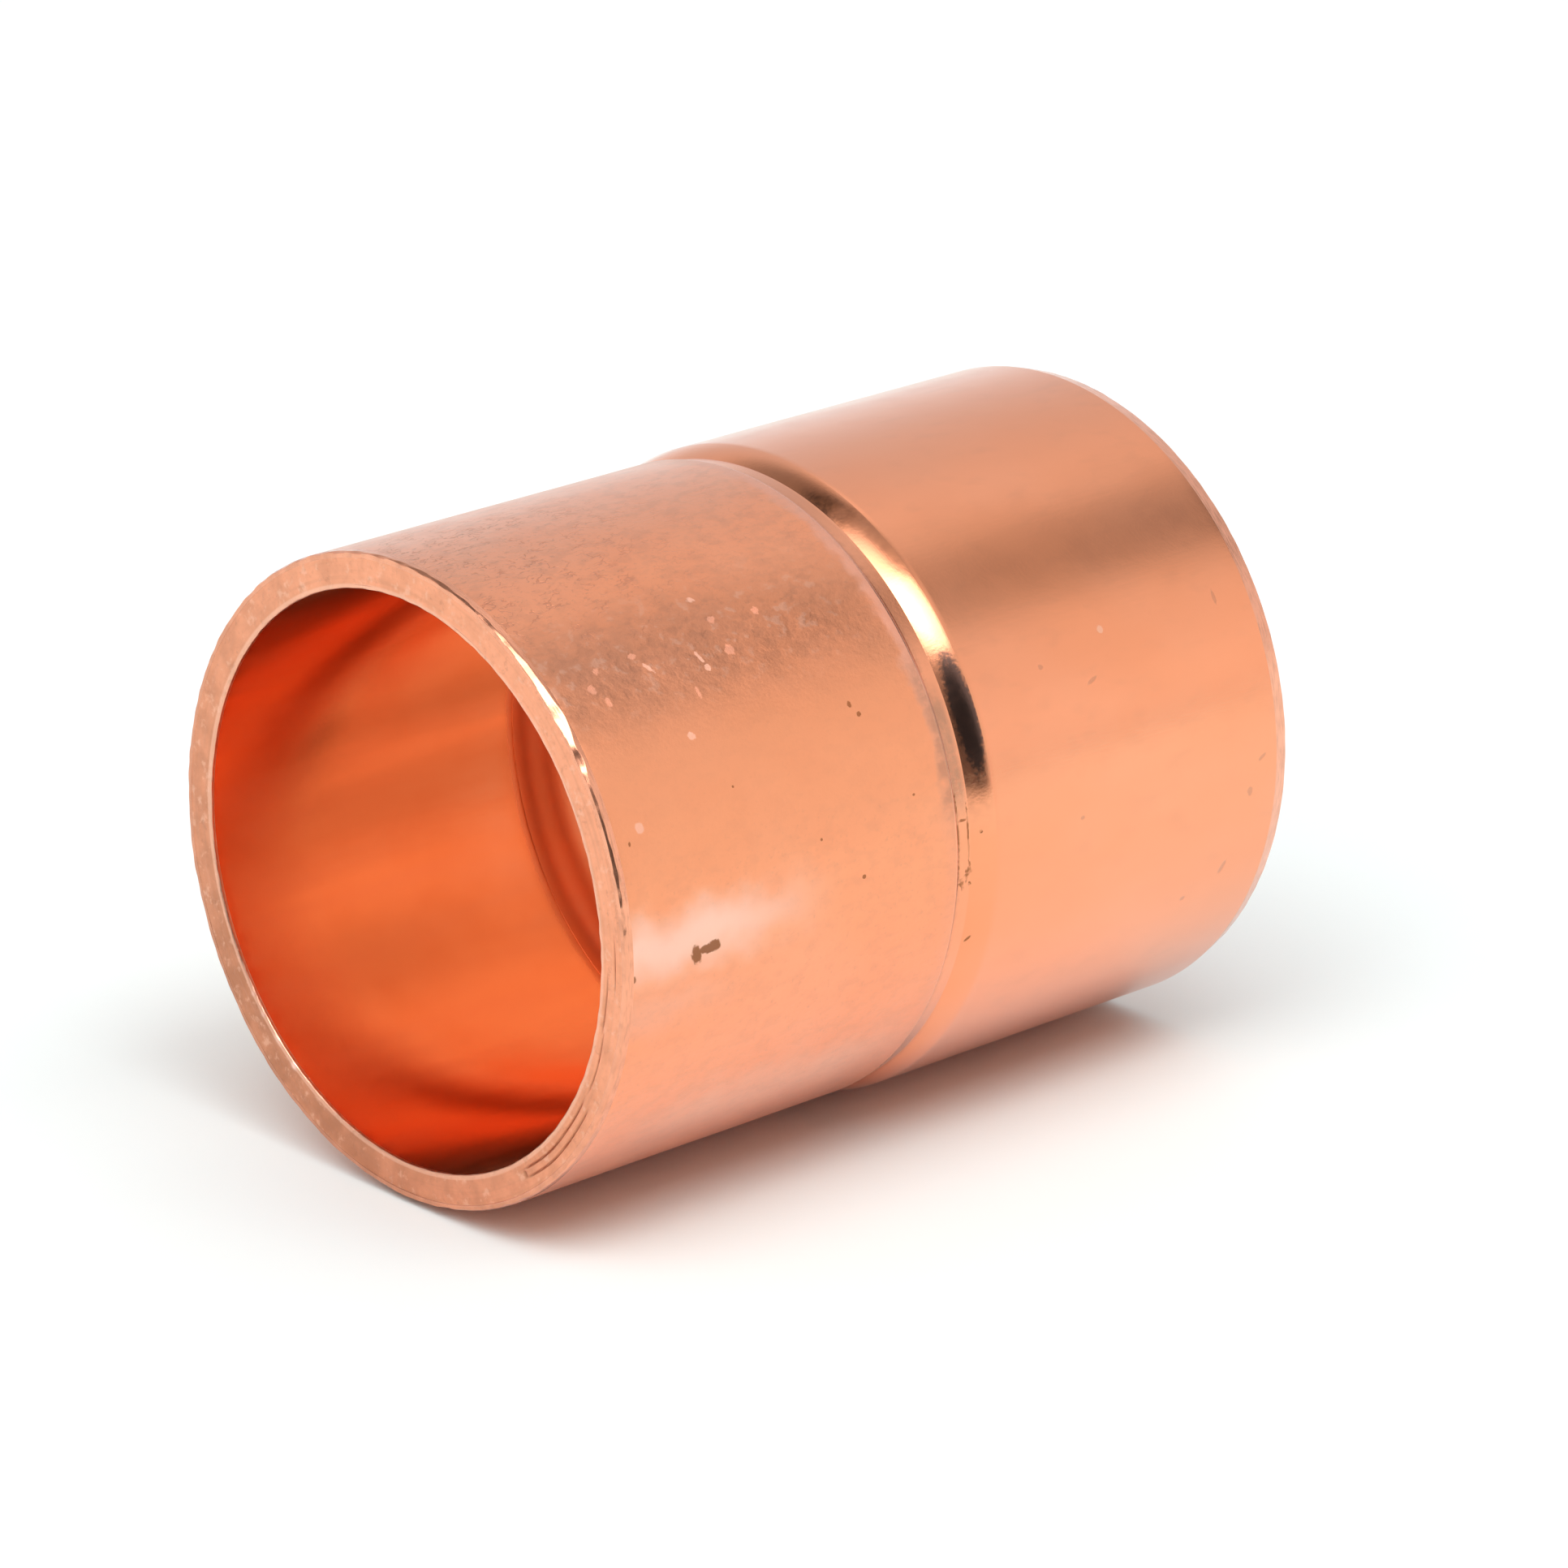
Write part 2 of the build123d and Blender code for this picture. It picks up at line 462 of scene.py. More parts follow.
class Shader(Nodes):
    """A metal's node tree, with the object's own coordinates ready: mm, and the angle round the bore."""

    def __init__(self, name):
        self.material = bpy.data.materials.new(name)
        self.material.use_nodes = True
        super().__init__(self.material.node_tree)
        self.principled = self.tree.nodes["Principled BSDF"]
        self.point = self.scale(self.add("ShaderNodeTexCoord").outputs["Object"], 1 / MM)
        self.along, y, z = self.split(self.point)
        self.around = self.math("ARCTAN2", z, self.math("MULTIPLY", y, -1.0))
        self.turn = self.math("DEGREES", self.around)
        self.radius = self.math("SQRT", self.total(self.product(y, y), self.product(z, z)))

    def between(self, value, low, high, soft):
        """1 between low and high, falling to 0 over soft on each side."""
        rising = self.remap(value, low - soft, low + soft)
        return self.math("MULTIPLY", rising, self.remap(value, high + soft, high - soft))

    def noise(self, vector, scale, detail=2.0, roughness=0.5):
        node = self.add("ShaderNodeTexNoise")
        return self.put(node, Vector=vector, Scale=scale, Detail=detail, Roughness=roughness).outputs[0]

    def squiggles(self, vector, scale, thickness):
        """Thin wandering lines, where a noise crosses its middle."""
        off = self.math("ABSOLUTE", self.math("SUBTRACT", self.noise(vector, scale, 2.0), 0.5))
        return self.remap(off, thickness, thickness * 0.3)

    def wander(self, value, scale, detail, reach):
        """The value moved up and down by a noise, up to reach in all."""
        off = self.math("SUBTRACT", self.noise(self.point, scale, detail), 0.5)
        return self.math("MULTIPLY_ADD", off, reach, value)

    def spot(self, x, turn, length, width, lean=0.0, ragged=0.5):
        """A mark x mm along and turn degrees round, length mm along the axis and width mm across."""
        flat = self.join(self.along, self.math("MULTIPLY", self.around, MARK_RADIUS), 0.0)
        node = self.add("ShaderNodeMapping", vector_type="TEXTURE")
        self.put(node, Vector=flat, Location=(x, math.radians(turn) * MARK_RADIUS, 0.0))
        self.put(node, Rotation=(0.0, 0.0, math.radians(lean)), Scale=(length / 2, width / 2, 1.0))
        distance = self.add("ShaderNodeVectorMath", operation="LENGTH")
        reach = self.put(distance, Vector=node.outputs[0]).outputs["Value"]
        return self.remap(self.wander(reach, 5.0, 3.0, ragged * 2), *MARK_EDGE)

    def spots(self, marks):
        """All the marks together, each given as spot takes it."""
        return self.highest(*[self.spot(*mark) for mark in marks])

    def tinted(self, color, films):
        """The colour under thin films laid on it in turn: where each is, how strong, and its colour."""
        for where, strength, film in films:
            color = self.blend(self.math("MULTIPLY", where, strength), color, film)
        return color

    def relief(self, heights, normal=None):
        """Chains bump nodes: (height, depth in mm) pairs."""
        for height, depth in heights:
            node = self.add("ShaderNodeBump")
            self.put(node, Height=height, Strength=1.0, Distance=depth * MM)
            if normal is not None:
                self.put(node, Normal=normal)
            normal = node.outputs[0]
        return normal

    def finish(self, color, roughness, normal, coat=0.0, coat_roughness=0.3):
        """Puts the copper together, under a clear film where coat isn't 0."""
        metal = {"Base Color": color, "Roughness": roughness, "Normal": normal, "Metallic": 1.0}
        self.put(self.principled, **metal)
        if coat != 0.0:
            film = {"Coat Weight": coat, "Coat Roughness": coat_roughness, "Coat Normal": normal}
            self.put(self.principled, **film)
        return self.material


COPPER = (0.97, 0.335, 0.147, 1.0)
ROSY = (0.98, 0.40, 0.22, 1.0)
TAWNY = (0.90, 0.31, 0.13, 1.0)
BRIGHT = (1.0, 0.36, 0.155, 1.0)
BORE = (0.985, 0.415, 0.215, 1.0)
DEEP = (0.62, 0.19, 0.085, 1.0)
CUT = (0.95, 0.395, 0.23, 1.0)
PALE = (1.0, 0.60, 0.44, 1.0)
BLUSH = (1.0, 0.64, 0.52, 1.0)
SCUFFED = (0.80, 0.46, 0.36, 1.0)
TAN = (0.52, 0.21, 0.115, 1.0)
SMEAR = (0.50, 0.23, 0.125, 1.0)
OXIDE = (0.30, 0.14, 0.09, 1.0)
UMBER = (0.36, 0.14, 0.075, 1.0)
RUST = (0.30, 0.105, 0.035, 1.0)
# The colour of the painted dark reflection on the shoulder
REFLECTED_DARK = (0.05, 0.035, 0.035, 1.0)
LEAST_SHADED_SIDE = math.radians(40.0)  # where round the tube its end faces get the least painted shade

# Marks on the outside, as spot takes them: mm along, degrees round, length and width in mm, and then,
# where they aren't the usual ones, the lean in degrees and how ragged it is
MARK_RADIUS = 15.9  # of the surface they lie on, in mm
MARK_EDGE = (1.15, 0.75)  # where a mark starts and is full, in half sizes from its middle
WORM = (
    (-17.2, -0.55, 0.62, 0.95, 10.0, 0.5),
    (-16.5, -0.15, 1.5, 0.46, -4.0, 0.5),
    (-16.12, 0.1, 0.75, 0.55, 0.0, 0.5),
)
SPECKS = (
    (-5.42, 32.3, 0.26, 0.3, 0.0, 0.8),
    (-5.08, 30.2, 0.24, 0.26, 0.0, 0.8),
    (-6.7, 3.4, 0.24, 0.2),
    (-21.0, -1.5, 0.2, 0.3, 0.0, 0.8),
    (-20.3, 21.0, 0.16, 0.2, 0.0, 0.8),
    (-13.6, 25.0, 0.14, 0.14, 0.0, 0.8),
    (-9.1, 12.0, 0.14, 0.14, 0.0, 0.8),
    (-3.1, 14.5, 0.16, 0.14, 0.0, 0.8),
)
NICKS = (
    (-10.7, 58.5, 0.42, 0.36, 0.0, 0.7),
    (-12.2, 45.5, 0.40, 0.36, 10.0, 0.8),
    (-12.3, 47.6, 0.20, 0.75, 15.0, 0.8),
    (-15.3, 48.4, 0.22, 0.70, 35.0, 0.8),
    (-14.9, 35.0, 0.5, 0.36, -20.0, 0.8),
    (-19.5, 23.1, 0.5, 0.55, 0.0, 0.3),
)
FAINT_NICKS = (
    (-10.4, 53.6, 0.45, 0.35, 0.0, 0.8),
    (-10.5, 47.4, 0.6, 0.5, 20.0, 0.9),
    (-7.8, 53.0, 0.4, 0.4, 0.0, 0.8),
    (-18.9, 47.5, 0.45, 0.5, 0.0, 0.8),
    (-18.4, 44.5, 0.3, 0.5, 0.0, 0.8),
    (-13.4, 41.7, 0.2, 0.6, 0.0, 0.8),
    (-18.1, 50.5, 0.35, 0.35, 0.0, 0.8),
    (-15.8, 51.2, 0.45, 0.35, 0.0, 0.8),
)
LARGE_END_NICK = (10.7, 31.8, 0.4, 0.4, 0.0, 0.3)
LARGE_END_MARKS = (
    (18.4, 31.4, 0.2, 0.8),
    (17.7, -17.7, 0.3, 0.8, -25.0),
    (18.8, -3.8, 0.35, 0.5),
    (19.6, 1.9, 0.6, 0.2, 30.0),
    (9.2, 24.0, 0.8, 0.2, 20.0),
    (6.3, 28.7, 0.3, 0.25),
    (15.4, -22.1, 0.35, 0.25),
    (7.3, 1.6, 0.3, 0.2),
)
GROOVE_MARKS = (
    (-0.44, 4.3, 0.13, 5.0, 0.0, 0.7),
    (0.22, 4.4, 0.11, 3.2, 0.0, 0.9),
    (-0.1, 7.3, 0.6, 0.12, 0.0, 0.8),
    (-0.22, -4.3, 0.30, 0.60, 20.0, 1.2),
    (0.20, -2.2, 0.34, 0.85, -15.0, 1.2),
    (0.32, -4.6, 0.16, 0.20, 0.0, 0.8),
    (0.60, -15.5, 0.13, 0.5, -35.0, 0.2),
    (0.83, 4.7, 0.16, 0.16, 0.0, 0.4),
)
# A painted dark reflection on the shoulder, as spot takes it
SHOULDER_DARK_REFLECTION = (1.05, 25.5, 1.2, 6.2, 0.0, 0.35)


def copper_tones(s, rosy_share=0.5):
    """The large soft drifts between orange and rosy copper."""
    drift = s.noise(s.stretch(s.point, (0.6, 1.0, 1.0)), 0.16, 2.0)
    cloud = s.noise(s.stretch(s.point, (0.4, 1.0, 1.0)), 0.3, 2.0)
    films = [(s.remap(drift, 0.35, 0.75), rosy_share, ROSY), (s.remap(cloud, 0.45, 0.8), 0.25, TAWNY)]
    return s.tinted(COPPER, films)


def top_scuffs(s):
    """Brown scuffs and freckles, thickest on top towards the mouth."""
    flat = s.stretch(s.point, (0.5, 1.0, 1.0))
    on_top = s.product(s.between(s.turn, 58, 108, 12), s.remap(s.along, -6.0, -17.0, 0.25, 1.0))
    patches = s.remap(s.noise(s.point, 0.8, 3.0), 0.42, 0.62)
    scuffs = s.product(s.squiggles(flat, 2.4, 0.035), patches, on_top)
    freckles = s.product(s.remap(s.noise(flat, 4.5, 3.0, 0.6), 0.58, 0.68), on_top)
    return scuffs, freckles


def belt_wear_and_dark_reflection(s):
    """The belt below the scuffs: where it is browned, partly wear and partly a painted dark reflection,
    its pebbled relief, and its dark and pale pebbles.
    """
    belt = s.product(s.between(s.turn, 43, 60, 7), s.between(s.along, -22.5, -3.0, 2.5))
    patches = s.remap(s.noise(s.point, 0.5, 2.0), 0.35, 0.6, 0.5, 1.0)
    browned = s.product(belt, patches, s.remap(s.along, -2.0, -19.0, 0.35, 1.0))
    pebbles = s.noise(s.stretch(s.point, (0.8, 1.0, 1.0)), 1.9, 3.0, 0.5)
    dark = s.product(s.remap(pebbles, 0.48, 0.36), belt)
    pale = s.product(s.remap(pebbles, 0.56, 0.68), belt)
    return browned, s.product(pebbles, belt), dark, pale


def handled_patches(s):
    """Where handling has left it pinkish or pale: a blush by the mouth, a rim below it, and underneath."""
    turn = s.wander(s.turn, 0.45, 2.0, 9.0)
    blush = s.product(s.between(turn, -1.5, 7.0, 4.0), s.between(s.along, -26.0, -12.0, 4.5))
    rim = s.product(s.between(turn, -11.0, -5.0, 4.0), s.between(s.along, -24.0, -16.0, 3.0))
    under = s.product(s.between(turn, -44.0, -32.0, 6.0), s.between(s.along, -17.0, -3.0, 3.0))
    return blush, rim, under


def scuffed_round(s):
    """How scuffed the rolled edge is round the tube: most from the side to the top, and not behind."""
    return s.product(s.remap(s.turn, 8.0, 42.0, 0.15, 1.0), s.remap(s.turn, 130.0, 112.0))


def rolled_lip(s, leather):
    """Scuffed grey along the rolled edge, and a brown smear over it at the side."""
    along = s.wander(s.along, 1.1, 3.0, 1.4)
    lip = s.product(s.remap(along, -1.7, -1.0), scuffed_round(s))
    patchy = s.remap(leather, 0.35, 0.55, 0.5, 1.0)
    smear = s.product(s.remap(along, -1.6, -0.9), s.between(s.turn, 9.0, 36.0, 5.0), patchy)
    return lip, smear


def brushed_outside():
    """The small end: matt and leathery, with fine brown scuffs on top, pale nicks and a few stains."""
    s = Shader("brushed_copper_outside")
    grain = s.noise(s.point, 5.0, 4.0, 0.6)
    leather = s.noise(s.stretch(s.point, (0.6, 1.0, 1.0)), 1.7, 3.0, 0.55)
    upper = s.between(s.turn, 60.0, 140.0, 14.0)
    leather_tan = s.product(s.remap(leather, 0.42, 0.68), s.math("MULTIPLY_ADD", upper, 0.12, 0.12))
    scuffs, freckles = top_scuffs(s)
    browned, pebbles, dark_pebbles, pale_pebbles = belt_wear_and_dark_reflection(s)
    blush, rim, under = handled_patches(s)
    lip, smear = rolled_lip(s, leather)
    worm, specks = s.spots(WORM), s.spots(SPECKS)
    nicks, faint_nicks = s.spots(NICKS), s.spots(FAINT_NICKS)
    films = [
        (s.between(s.turn, 84.0, 140.0, 16.0), 0.25, PALE),
        (under, 0.4, PALE),
        (leather_tan, 1.0, TAN),
        (s.remap(grain, 0.55, 0.8), 0.18, OXIDE),
        (s.between(s.turn, 14.0, 38.0, 8.0), 0.6, BRIGHT),
        (scuffs, 0.36, UMBER),
        (freckles, 0.28, UMBER),
        # The belt's brown: wear, and a painted dark reflection band
        (browned, 0.47, TAN),
        (dark_pebbles, 0.20, UMBER),
        (pale_pebbles, 0.30, PALE),
        (rim, 0.3, SCUFFED),
        (blush, 0.7, BLUSH),
        (lip, 0.5, SCUFFED),
        (smear, 0.55, SMEAR),
        (worm, 0.9, RUST),
        (specks, 0.75, RUST),
        (faint_nicks, 0.30, PALE),
        (nicks, 0.7, PALE),
    ]
    color = s.tinted(copper_tones(s, 0.35), films)
    rough = s.remap(s.noise(s.point, 0.45, 3.0), 0.3, 0.7, 0.30, 0.38)
    rough = s.math("MULTIPLY_ADD", s.highest(worm, specks, scuffs, lip, smear), 0.2, rough)
    rough = s.math("MULTIPLY_ADD", s.highest(nicks, faint_nicks), 0.3, rough)
    normal = s.relief([(leather, 0.012), (grain, 0.009), (scuffs, -0.010), (pebbles, 0.030)])
    gloss = s.math("MULTIPLY_ADD", s.highest(worm, specks), -0.8, 1.0)
    return s.finish(color, rough, normal, gloss, 0.34)


def polished_outside():
    """The large end: smoother, with faint drawing lines and a few marks."""
    s = Shader("polished_copper_outside")
    nick = s.spot(*LARGE_END_NICK)
    marks = s.spots(LARGE_END_MARKS)
    lines = s.noise(s.stretch(s.point, (0.06, 1.0, 1.0)), 6.0, 2.0)
    grain = s.noise(s.point, 7.0, 2.0)
    leather = s.noise(s.stretch(s.point, (0.5, 1.0, 1.0)), 1.1, 3.0)
    films = [(nick, 0.45, PALE), (marks, 0.30, OXIDE), (s.remap(leather, 0.5, 0.8), 0.10, TAN)]
    color = s.tinted(copper_tones(s, 0.3), films)
    rough = s.remap(s.noise(s.point, 0.35, 3.0), 0.3, 0.7, 0.21, 0.262)
    normal = s.relief([(lines, 0.0015), (grain, 0.0012), (leather, 0.004), (marks, -0.004)])
    return s.finish(color, rough, normal, 1.0, 0.26)


def groove_metal():
    """The rolled groove and shoulder: bright, with residue and painted shade in the corner, painted dark
    reflections along the top and on the shoulder, and painted shade along the bottom.
    """
    s = Shader("rolled_copper")
    dirt = s.noise(s.point, 2.6, 4.0)
    mottle = s.noise(s.point, 1.6, 4.0, 0.6)

    # The rolled edge, a stained stretch at the side, residue and painted shade in the corner, a painted
    # dark reflection along the top, painted shade along the bottom, and a scuff on the shoulder
    edge = s.product(s.remap(s.along, -0.42, -0.62), scuffed_round(s))
    marking = s.product(s.between(s.turn, 10.0, 30.0, 4.0), s.between(s.along, -1.4, 0.2, 0.25))
    marking = s.product(marking, s.remap(mottle, 0.30, 0.62, 0.6, 1.0))
    corner_residue_and_shade = s.product(s.between(s.along, -0.58, -0.30, 0.16), s.remap(dirt, 0.40, 0.60, 0.3, 1.0))
    top_painted_reflection = s.product(s.between(s.turn, 52.0, 84.0, 8.0), s.between(s.along, -0.7, 0.3, 0.2))
    low_painted_shade = s.product(s.between(s.turn, -80.0, -36.0, 10.0), s.between(s.along, -0.75, 0.35, 0.2))
    scuff = s.product(s.between(s.turn, 60.0, 71.0, 3.0), s.remap(s.along, 0.1, 0.4))
    scuff = s.product(scuff, s.remap(mottle, 0.30, 0.62, 0.35, 1.0))

    # A hairline of residue and painted shade under the edge, thin broken marks, and a painted dark
    # reflection where the shoulder is darkest
    hairline = s.product(s.between(s.along, -0.66, -0.45, 0.06), s.between(s.turn, -48.0, -2.0, 2.0))
    broken = s.remap(s.noise(s.point, 2.4, 3.0), 0.44, 0.54, 0.4, 1.0)
    marks = s.product(s.spots(GROOVE_MARKS), broken)
    films = [
        (edge, 0.5, SCUFFED),
        (corner_residue_and_shade, 0.25, UMBER),
        (top_painted_reflection, 0.35, TAN),
        (low_painted_shade, 0.45, OXIDE),
        (scuff, 0.35, ROSY),
        (marking, 0.85, SMEAR),
        (hairline, 0.85, OXIDE),
        (s.spot(*SHOULDER_DARK_REFLECTION), 0.85, REFLECTED_DARK),
        (marks, 0.85, RUST),
    ]
    color = s.tinted(copper_tones(s), films)
    rough = s.remap(dirt, 0.3, 0.7, 0.15, 0.21)
    rough = s.math("MULTIPLY_ADD", s.highest(edge, marking, corner_residue_and_shade, marks), 0.055, rough)
    rough = s.math("MULTIPLY_ADD", scuff, 0.05, rough)
    normal = s.relief([(s.noise(s.point, 6.0, 3.0), 0.0025), (marks, -0.01)])
    gloss = s.math("MULTIPLY_ADD", s.highest(marks, hairline), -0.8, 1.0)
    return s.finish(color, rough, normal, gloss, 0.2)


def bore_metal():
    """The inside: smooth drawn copper with soft streaks along it, rougher at the stop, and deeper red
    there from a painted dark reflection.
    """
    s = Shader("drawn_bore")
    drift = s.remap(s.noise(s.point, 0.3, 2.0), 0.4, 0.7)
    streak = s.noise(s.stretch(s.point, (0.12, 1.0, 1.0)), 0.7, 3.0)
    by_mouth = s.remap(s.along, -14.0, -20.0)
    rolled = s.between(s.along, -2.8, 2.5, 0.25)
    # Painted dark reflection: deeper red on the stop's ramp
    stop_dark_reflection = s.between(s.along, -2.6, -0.7, 0.7)
    films = [(drift, 0.3, TAWNY), (s.remap(streak, 0.45, 0.75), 0.35, ROSY), (stop_dark_reflection, 0.45, DEEP)]
    color = s.tinted(BORE, films)
    rough = s.math("MULTIPLY_ADD", by_mouth, 0.055, s.remap(streak, 0.3, 0.7, 0.16, 0.21))
    rough = s.math("MULTIPLY_ADD", rolled, 0.2, rough)
    normal = s.relief([(s.noise(s.point, 4.0, 3.0), 0.0015), (streak, 0.006)])
    return s.finish(color, rough, normal)


def face_tones(s):
    """Dull mottled copper with painted shade, darkest opposite one side and more low on the +Y side, and
    its blotches.
    """
    blotch = s.noise(s.point, 0.9, 3.0, 0.5)
    # Painted shade: darker opposite one side of the face and more low on the +Y side, with random tarnish
    # blotches on top
    toward_least_shaded = s.math("COSINE", s.math("SUBTRACT", s.around, LEAST_SHADED_SIDE))
    shade_and_tarnish = s.math("MULTIPLY_ADD", toward_least_shaded, -0.33, 0.30)
    shade_and_tarnish = s.math("MULTIPLY_ADD", s.between(s.turn, -160.0, -95.0, 16.0), 0.25, shade_and_tarnish)
    shade_and_tarnish = s.math("ADD", shade_and_tarnish, s.remap(blotch, 0.3, 0.7, -0.16, 0.16))
    return s.blend(shade_and_tarnish, CUT, TAN), blotch


def cut_metal():
    """A mouth's sawn face with painted shade, darker brown in the near face's lines, and a painted
    highlight along the near inner edge and on the lip's beads.
    """
    s = Shader("cut_face")
    color, blotch = face_tones(s)
    turned = s.join(s.math("MULTIPLY", s.radius, 4.0), s.math("MULTIPLY", s.around, 1.5), 0.0)
    rings = s.noise(turned, 1.0, 2.0)
    flecks = s.noise(s.point, 4.0, 3.0, 0.6)
    browned = s.remap(s.noise(s.point, 2.0, 4.0, 0.65), 0.55, 0.66)
    browned = s.product(browned, s.remap(s.noise(s.point, 0.6, 2.0), 0.40, 0.60))
    pale = s.remap(s.noise(s.point, 1.7, 3.0, 0.6), 0.55, 0.70)
    # Painted highlight: paler along the inner edge of the face
    lip_highlight = s.remap(s.radius, 14.36, 14.26)
    dirt = s.add("ShaderNodeAttribute", attribute_name="dirt").outputs["Fac"]
    films = [
        (s.remap(flecks, 0.50, 0.75), 0.12, TAN),
        (s.remap(rings, 0.48, 0.75), 0.22, TAN),
        (pale, 0.35, PALE),
        (lip_highlight, 0.45, PALE),
        (browned, 0.18, UMBER),
        # Darker brown in the near face's lines, and the painted highlight on the lip's beads
        (s.remap(dirt, 0.0, 1.0), 0.75, UMBER),
        (s.remap(dirt, 0.0, -0.8), 1.0, BLUSH),
    ]
    rough = s.remap(flecks, 0.3, 0.7, 0.28, 0.38)
    normal = s.relief([(rings, 0.006), (flecks, 0.005), (blotch, 0.03), (browned, -0.010)])
    return s.finish(s.tinted(color, films), rough, normal)


def chamfer_metal():
    """The broken edge round a mouth: the face's copper with its painted shade, burnished by the deburring
    tool.
    """
    s = Shader("burnished_edge")
    color, blotch = face_tones(s)
    turned = s.join(s.math("MULTIPLY", s.around, 16.0), s.math("MULTIPLY", s.along, 6.0), 0.0)
    chatter = s.noise(turned, 1.4, 3.0)
    color = s.tinted(color, [(s.remap(chatter, 0.45, 0.75), 0.4, TAN)])
    rough = s.remap(chatter, 0.3, 0.7, 0.18, 0.262)
    return s.finish(color, rough, s.relief([(chatter, 0.006), (blotch, 0.02)]), 0.5, 0.3)


looks = {
    "outside": brushed_outside(),
    "polished": polished_outside(),
    "groove": groove_metal(),
    "bore": bore_metal(),
    "cut": cut_metal(),
    "edge": chamfer_metal(),
}

# ---------------------------------------------------------------- the four sections

small_socket = lathe(
    "small_socket_skin",
    [
        corner(SMALL_MOUTH, SMALL_IN + MOUTH_CHAMFER, EDGE, FINE_STEP, "cut"),
        corner(SMALL_MOUTH, SMALL_OUT - SMALL_CHAMFER[1], EDGE, FINE_STEP, "edge"),
        corner(SMALL_MOUTH + SMALL_CHAMFER[0], SMALL_OUT, SOFT_EDGE, WALL_STEP, "outside"),
        corner(SMALL_BOTTOM, SMALL_OUT, 0, WALL_STEP, "bore"),
        corner(SMALL_BOTTOM, SMALL_IN, 0, RAMP_STEP, "bore"),
        corner(RAMP_START, SMALL_IN, 0, WALL_STEP, "bore"),
        corner(SMALL_MOUTH + MOUTH_CHAMFER, SMALL_IN, EDGE, FINE_STEP, "cut"),
    ],
    looks,
    [
        refill(SMALL_MOUTH, SMALL_CHAMFER, 1, small_edge_kept),
        refill(SMALL_MOUTH, (MOUTH_CHAMFER, MOUTH_CHAMFER), -1, inner_edge_kept),
        cut_mouth(SMALL_MOUTH, SMALL_IN, SMALL_OUT, seed=21),
        small_mouth_relief,
    ],
    small_mouth_dirt,
)

ramp = []
for k in range(1, RAMP_STEPS):
    x = FOOT + (SMALL_BOTTOM - FOOT) * k / RAMP_STEPS
    ramp.append(corner(x, SMALL_IN - ramp_rise(x), 0, WALL_STEP, "bore"))

stop_groove = lathe(
    "stop_groove_skin",
    [
        corner(SMALL_BOTTOM, SMALL_OUT, 0, WALL_STEP, "outside"),
        corner(GROOVE_EDGE, SMALL_OUT, ROLLED_EDGE, FINE_STEP, "groove"),
        corner(GROOVE_EDGE + GROOVE_WALL, GROOVE_OUT, GROOVE_CORNER, FINE_STEP, "groove"),
        corner(FOOT, GROOVE_OUT, 0, WALL_STEP, "bore"),
        corner(FOOT, STOP_IN, 0, WALL_STEP, "bore"),
        *ramp,
        corner(SMALL_BOTTOM, SMALL_IN - ramp_rise(SMALL_BOTTOM), 0, WALL_STEP, "bore"),
    ],
    looks,
)

shoulder_foot = Vector((FOOT, GROOVE_OUT))
shoulder_top = Vector((SHOULDER_TOP, LARGE_OUT))
outward = (shoulder_top - shoulder_foot).normalized().yx * Vector((-1, 1))
crown = []
for k in range(1, CROWN_STEPS):
    t = k / CROWN_STEPS
    point = shoulder_foot.lerp(shoulder_top, t) + outward * (4 * SHOULDER_CROWN * t * (1 - t))
    crown.append(corner(point.x, point.y, 0, FINE_STEP, "groove"))

reducing_shoulder = lathe(
    "reducing_shoulder_skin",
    [
        corner(FOOT, GROOVE_OUT, 0, FINE_STEP, "groove"),
        *crown,
        corner(SHOULDER_TOP, LARGE_OUT, 0, WALL_STEP, "polished"),
        corner(LARGE_BOTTOM, LARGE_OUT, 0, WALL_STEP, "bore"),
        corner(LARGE_BOTTOM, LARGE_IN, 0, FINE_STEP, "bore"),
        corner(LARGE_BOTTOM - LARGE_FLANK, STOP_IN, LARGE_CREST, WALL_STEP, "bore"),
        corner(FOOT, STOP_IN, 0, WALL_STEP, "bore"),
    ],
    looks,
)

large_socket = lathe(
    "large_socket_skin",
    [
        corner(LARGE_BOTTOM, LARGE_OUT, 0, WALL_STEP, "polished"),
        corner(LARGE_MOUTH - LARGE_CHAMFER[0], LARGE_OUT, SOFT_EDGE, FINE_STEP, "edge"),
        corner(LARGE_MOUTH, LARGE_OUT - LARGE_CHAMFER[1], EDGE, FINE_STEP, "cut"),
        corner(LARGE_MOUTH, LARGE_IN + MOUTH_CHAMFER, EDGE, FINE_STEP, "cut"),
        corner(LARGE_MOUTH - MOUTH_CHAMFER, LARGE_IN, EDGE, WALL_STEP, "bore"),
        corner(LARGE_BOTTOM, LARGE_IN, 0, WALL_STEP, "bore"),
    ],
    looks,
    [
        refill(LARGE_MOUTH, (MOUTH_CHAMFER, MOUTH_CHAMFER), -1, inner_edge_kept),
        cut_mouth(LARGE_MOUTH, LARGE_IN, LARGE_OUT, seed=31),
    ],
)

for piece, node, slot, look in (
    (small_socket, "small_socket", "brushed_copper", "outside"),
    (stop_groove, "stop_groove", "brushed_copper", "outside"),
    (reducing_shoulder, "reducing_shoulder", "polished_copper", "polished"),
    (large_socket, "large_socket", "polished_copper", "polished"),
):
    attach(piece, "root")
    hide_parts(node)
    frame["nodes"][node].data.materials.clear()
    frame["nodes"][node].data.materials.append(looks[look])

# ---------------------------------------------------------------- stage, light and camera

